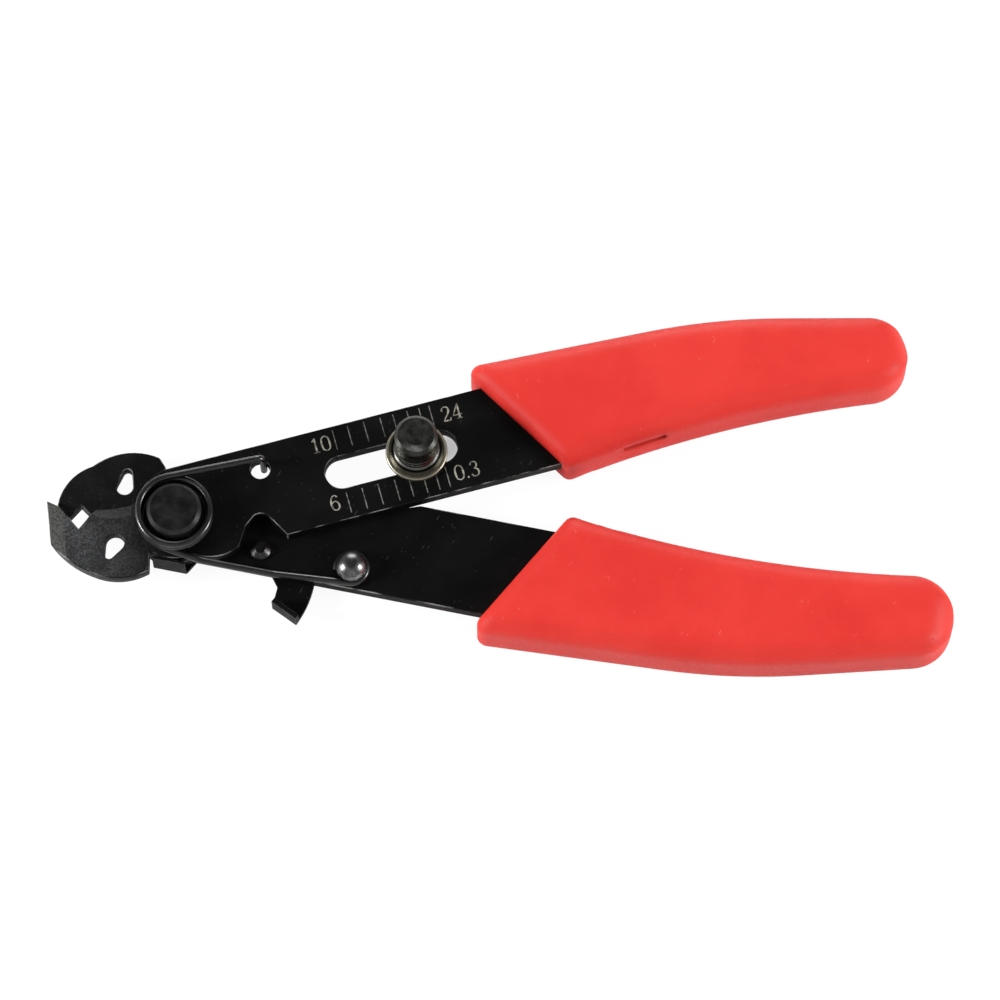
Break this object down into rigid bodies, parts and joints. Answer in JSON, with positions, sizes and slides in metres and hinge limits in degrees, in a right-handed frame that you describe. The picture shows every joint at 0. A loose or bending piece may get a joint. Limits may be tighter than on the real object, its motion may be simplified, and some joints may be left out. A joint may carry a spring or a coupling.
{
  "type": "adjustable wire stripper",
  "caption": "Hand tool with two pivoted blackened steel arms, crossed cutting jaws with vee notches, a torsion spring, a sliding stop on a scale and moulded red grips.",
  "frame": {"origin": "on the pivot axis, at the flat rear face of the pivot rivet, in the plane on which the tool lies", "axes": "+X from the pivot towards the grips, +Y from the lower handle towards the upper one, +Z along the pivot axis out of the front"},
  "size_m": [0.1293, 0.0527, 0.014],
  "materials": {
    "black_steel": "black oxide, satin",
    "red_plastic": "moulded, matt",
    "spring_steel": "blackened wire, glossy",
    "bare_steel": "bare, polished",
    "tinted_zinc": "zinc plate with a yellow tint",
    "dark_steel": "darkened, satin"
  },
  "bodies": {
    "lower_handle": {"lower_arm_plate": "black_steel", "lower_grip": "red_plastic", "pivot_rivet": "black_steel", "return_spring": "spring_steel", "spring_anchor_rivet": "bare_steel", "latch_rivet": "bare_steel"},
    "upper_handle": {"upper_arm_plate": "black_steel", "upper_grip": "red_plastic"},
    "stop": {"stop_bolt": "bare_steel", "stop_washer": "tinted_zinc"},
    "nut": {"thumb_nut": "dark_steel"},
    "latch": {"latch_lever": "black_steel"}
  },
  "joints": [
    {"name": "handle_close", "type": "hinge", "parent": "lower_handle", "child": "upper_handle", "pos_m": [0, 0, 0], "axis": [0, 0, -1], "range_deg": [0, 6.5], "stiffness_Nm_per_rad": 0.8, "springref_deg": -20.05, "deforming": ["return_spring"]},
    {"name": "stop_slide", "type": "slide", "parent": "upper_handle", "child": "stop", "axis": [0.9641, 0.2656, 0], "range_m": [-0.0107, 0.0033]},
    {"name": "nut_turn", "type": "hinge", "parent": "stop", "child": "nut", "pos_m": [0.03443, 0.0098, 0.0075], "axis": [0, 0, 1], "range_deg": [0, 360]},
    {"name": "latch_turn", "type": "hinge", "parent": "lower_handle", "child": "latch", "pos_m": [0.0122, -0.0044, 0.0022], "axis": [0, 0, 1], "range_deg": [0, 6]}
  ]
}
